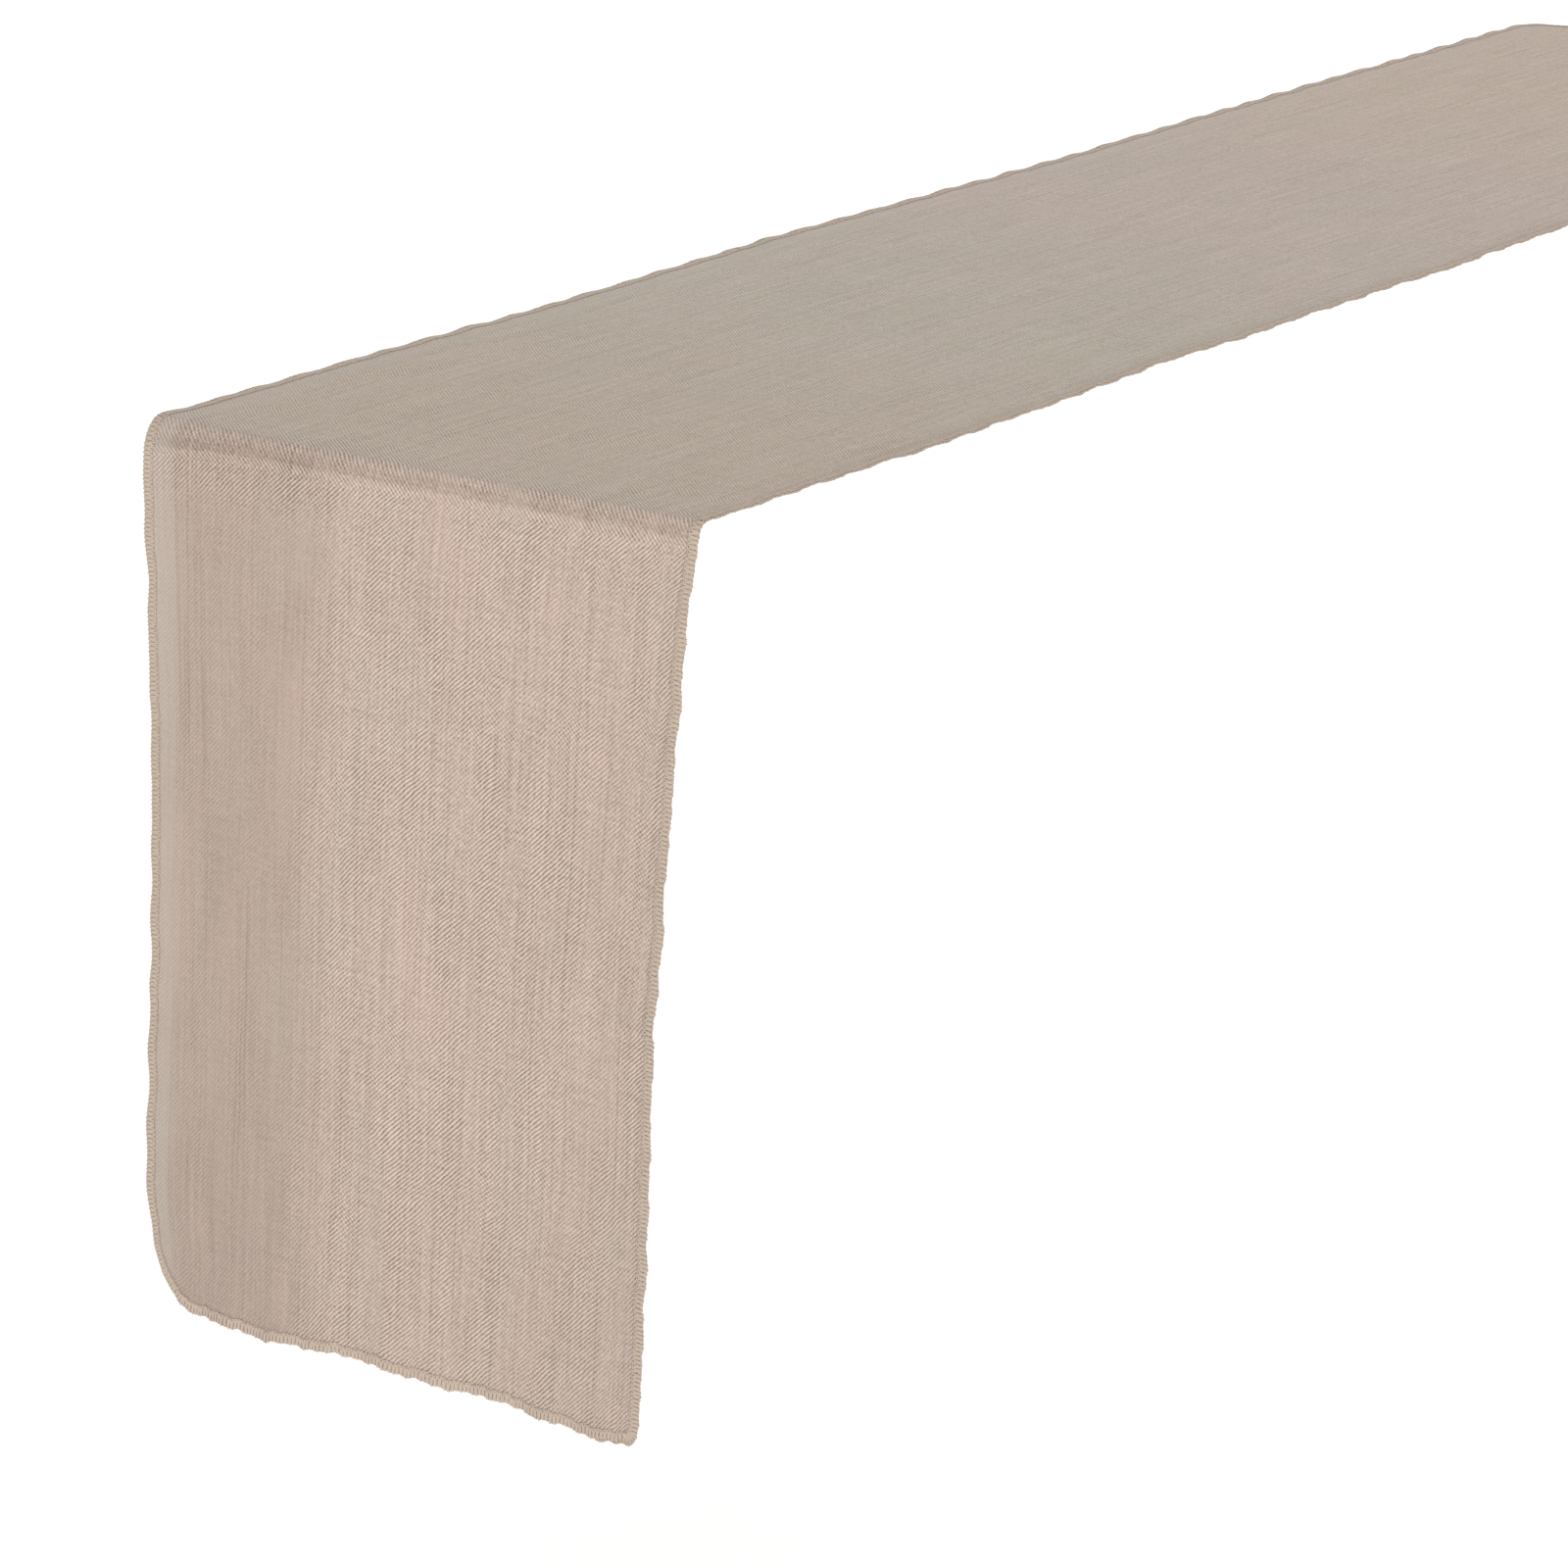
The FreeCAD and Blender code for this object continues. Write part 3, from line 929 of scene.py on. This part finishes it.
    # Painted highlight: a lighter, greyer band near the left edge, where it turns back toward
    # the light
    left_edge_highlight = tree.spread(flat_across, side_mm - 26, side_mm - 12, 0.0, 0.35)
    colour = tree.mix(left_edge_highlight, colour, LEFT_EDGE_PAINTED_HIGHLIGHT)
    under_seam = tree.spread(inset_mm, seam_mm - 3.4, seam_mm - 1.6, 0.4, 0.0)
    colour = tree.mix(under_seam, colour, SEAM_SHADOW)

    height = tree.math("MULTIPLY_ADD", slub, 0.35, weave)
    height = tree.math("MULTIPLY_ADD", speckle, 0.25, height)
    shader = tree.shader
    tree.put(shader.inputs["Base Color"], colour)
    tree.put(shader.inputs["Roughness"], tree.spread(grain, 0.2, 0.8, 0.82, 0.96))
    tree.put(shader.inputs["Normal"], tree.bump(height, 0.7, WEAVE_BUMP))
    shader.inputs["Specular IOR Level"].default_value = 0.25
    shader.inputs["Sheen Weight"].default_value = 0.12
    shader.inputs["Sheen Roughness"].default_value = 0.5
    return tree.material


def thread_material():
    tree = Tree("seam_thread")
    place = tree.vector_math("MULTIPLY", tree.attribute("thread_place"), (1000, 1, 1))
    along, turn, _ = tree.parts(place)
    # The plies wind round the thread
    plies = tree.math("SINE", tree.math("MULTIPLY_ADD", along, 5.2, turn))
    fuzz = tree.vector_math("MULTIPLY", place, (0.35, 1.2, 1))
    fuzz = tree.noise(fuzz, detail=3.0)["Fac"]
    light = tree.math("MULTIPLY_ADD", plies, 0.16, tree.spread(fuzz, 0.2, 0.8, 0.15, 1.0))
    tree.put(tree.shader.inputs["Base Color"], tree.mix(light, THREAD_SHADE, THREAD_COLOUR))
    tree.put(tree.shader.inputs["Roughness"], tree.spread(fuzz, 0.2, 0.8, 0.65, 0.85))
    tree.put(tree.shader.inputs["Normal"], tree.bump(plies, 0.5, PLY_BUMP))
    tree.shader.inputs["Specular IOR Level"].default_value = 0.35
    tree.shader.inputs["Sheen Weight"].default_value = 0.2
    return tree.material


def floor_material():
    tree = Tree("floor")
    mottle = tree.noise(tree.attribute("position"), scale=0.6)
    pale = tree.mix(mottle["Fac"], (0.93, 0.92, 0.91, 1), (0.96, 0.95, 0.94, 1))
    tree.put(tree.shader.inputs["Base Color"], pale)
    tree.shader.inputs["Roughness"].default_value = 0.9
    tree.shader.inputs["Specular IOR Level"].default_value = 0.1
    tree.put(tree.shader.inputs["Emission Color"], WHITE)
    tree.shader.inputs["Emission Strength"].default_value = 0.32
    return tree.material


# ---------------------------------------------------------------- the stage

# The camera: how far behind the drop, to the right of the middle and above the table it is
CAMERA_BACK = 3.3735
CAMERA_RIGHT = 2.1992
CAMERA_UP = 0.9773
CAMERA_YAW = math.radians(30.188)
CAMERA_PITCH = math.radians(15.868)
CAMERA_ROLL = math.radians(3.186)
CAMERA_LENS = 174.4
FLOOR_Z = -0.75
FLOOR_SIZE = 120

# The sky's light, and the sun: where it stands, how high, how soft and how strong, in degrees
SKY_COLOUR = (0.975, 1.0, 0.995, 1)
SKY_STRENGTH = 0.776
KEY_AZIMUTH = 50
KEY_ELEVATION = 8.8
KEY_SOFTNESS = 20
KEY_STRENGTH = 1.48


def add_camera():
    yaw, pitch, roll = CAMERA_YAW, CAMERA_PITCH, CAMERA_ROLL
    level = math.cos(pitch)
    ahead = Vector((math.cos(yaw) * level, math.sin(yaw) * level, -math.sin(pitch)))
    right = Vector((math.sin(yaw), -math.cos(yaw), 0))
    up = right.cross(ahead)
    rolled_right = math.cos(roll) * right + math.sin(roll) * up
    rolled_up = math.cos(roll) * up - math.sin(roll) * right
    data = bpy.data.cameras.new("camera")
    data.lens = CAMERA_LENS
    data.clip_end = 200
    camera = bpy.data.objects.new("camera", data)
    turn = Matrix((rolled_right, rolled_up, -ahead)).transposed().to_4x4()
    place = Vector((DROP_BACK - CAMERA_BACK, -CAMERA_RIGHT, CAMERA_UP))
    camera.matrix_world = Matrix.Translation(place) @ turn
    bpy.context.scene.collection.objects.link(camera)
    bpy.context.scene.camera = camera


def add_sun(name, azimuth, elevation, spread, strength):
    """A soft far light. Azimuth is where it stands: 0 is at -X, and 90 at -Y."""
    data = bpy.data.lights.new(name, "SUN")
    data.angle = math.radians(spread)
    data.energy = strength
    light = bpy.data.objects.new(name, data)
    a, e = math.radians(azimuth), math.radians(elevation)
    towards = Vector((-math.cos(a) * math.cos(e), -math.sin(a) * math.cos(e), math.sin(e)))
    light.rotation_mode = "QUATERNION"
    light.rotation_quaternion = towards.to_track_quat("Z", "Y")
    bpy.context.scene.collection.objects.link(light)


def add_stage():
    bpy.ops.mesh.primitive_plane_add(size=FLOOR_SIZE, location=(0, 0, FLOOR_Z))
    floor = bpy.context.object
    floor.name = "floor"
    floor.data.materials.append(floor_material())
    world = bpy.data.worlds.new("world")
    world.use_nodes = True
    background = world.node_tree.nodes["Background"]
    background.inputs["Color"].default_value = SKY_COLOUR
    background.inputs["Strength"].default_value = SKY_STRENGTH
    bpy.context.scene.world = world
    add_sun("key", KEY_AZIMUTH, KEY_ELEVATION, KEY_SOFTNESS, KEY_STRENGTH)
    bpy.context.scene.view_settings.view_transform = "Standard"


# ---------------------------------------------------------------- the object

# The stretches of the runner whose imported parts each half of the cloth and its seam stand for
STRETCHES = {
    "near": ("table_stretch", "near_fold", "near_drop"),
    "far": ("far_fold", "far_end"),
}

# Each thread's stitch, half its width, half its height, and its seed
THREADS = {
    "upper_looper": (UPPER_LOOPER, 0.00060, 0.00022, 21),
    "lower_looper": (LOWER_LOOPER, 0.00042, 0.00018, 22),
    "needle_thread": (NEEDLE_THREAD, 0.00026, 0.00020, 23),
}


def bend_with(piece):
    """Bakes a piece's placement into its mesh."""
    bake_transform(piece)


def cad_nodes(part, end):
    """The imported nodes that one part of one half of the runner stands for."""
    names = [f"{part}_{stretch}" for stretch in STRETCHES[end]]
    return sorted(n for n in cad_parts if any(n.startswith(name) for name in names))


def build():
    cloth_finish, thread_finish = cloth_material(), thread_material()
    rows = {"near": cloth_rows_near(), "far": cloth_rows_far()}
    for end in ("near", "far"):
        for thread, (pattern, half_width, half_height, seed) in THREADS.items():
            centres, normals = thread_centres(end, pattern, seed)
            name = f"{thread}_{end}"
            piece = thread_object(name, [tube(centres, normals, half_width, half_height)])
            piece.data.materials.append(thread_finish)
            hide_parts(*cad_nodes(thread, end))
            bend_with(piece)
        cloth = grid_mesh(f"cloth_{end}", rows[end])
        cloth.data.materials.append(cloth_finish)
        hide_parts(*cad_nodes("cloth", end))
        bend_with(cloth)
    tail = chain_tail()
    tail.data.materials.append(thread_finish)
    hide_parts("thread_chain_tail")
    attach(tail, "near_drop")


# The chained thread end, along the hem from the near right corner
TAIL_LENGTH = 0.027
TAIL_BEFORE_CORNER = 0.006
TAIL_TWIST = 0.0052
TAIL_SPREAD = 0.00050
TAIL_HANG = 0.0006
TAIL_SWAY = 0.0005
TAIL_THREAD = (0.00042, 0.00036)
TAIL_POINTS = 110
TAIL_STRANDS = 3


def chain_tail():
    """Three threads chained together, lying along the hem."""
    share = np.linspace(0, 1, TAIL_POINTS)
    points, inward, distance = end_outline(MIDDLE_ALONG, NEAR_RADII)
    corner_end = distance[np.argmax(points[:, 1] > -HALF_WIDTH + NEAR_RIGHT_CORNER)]
    on = corner_end - TAIL_BEFORE_CORNER + share * TAIL_LENGTH
    hanging = points - inward * TAIL_HANG
    place = [np.interp(on, distance, hanging[:, k]) for k in (0, 1)]
    axis, normals = on_cloth(place[0], place[1], np.full(TAIL_POINTS, SEAM_MIDDLE))
    axis[:, 2] -= TAIL_SWAY * np.sin(share * 9)
    draw = np.random.default_rng(31)
    tubes = []
    up = np.array([0.0, 0.0, 1.0])
    for strand in range(TAIL_STRANDS):
        turn = 2 * math.pi * (share * TAIL_LENGTH / TAIL_TWIST + strand / TAIL_STRANDS)
        lumps = 1 + 0.4 * np.sin(share * 23 + strand * 2.1)
        lumps += draw.normal(0, 0.10, TAIL_POINTS)
        taper = np.minimum(1.0, 0.35 + 6 * np.minimum(share, 1 - share))
        offset = TAIL_SPREAD * lumps * taper
        centres = axis + normals * (offset * np.cos(turn))[:, None]
        centres += up * (offset * np.sin(turn))[:, None]
        tubes.append(tube(centres, normals, *TAIL_THREAD))
    return thread_object("thread_chain_tail_looks", tubes)


MOVES = settled_moves()
add_camera()
add_stage()
build()
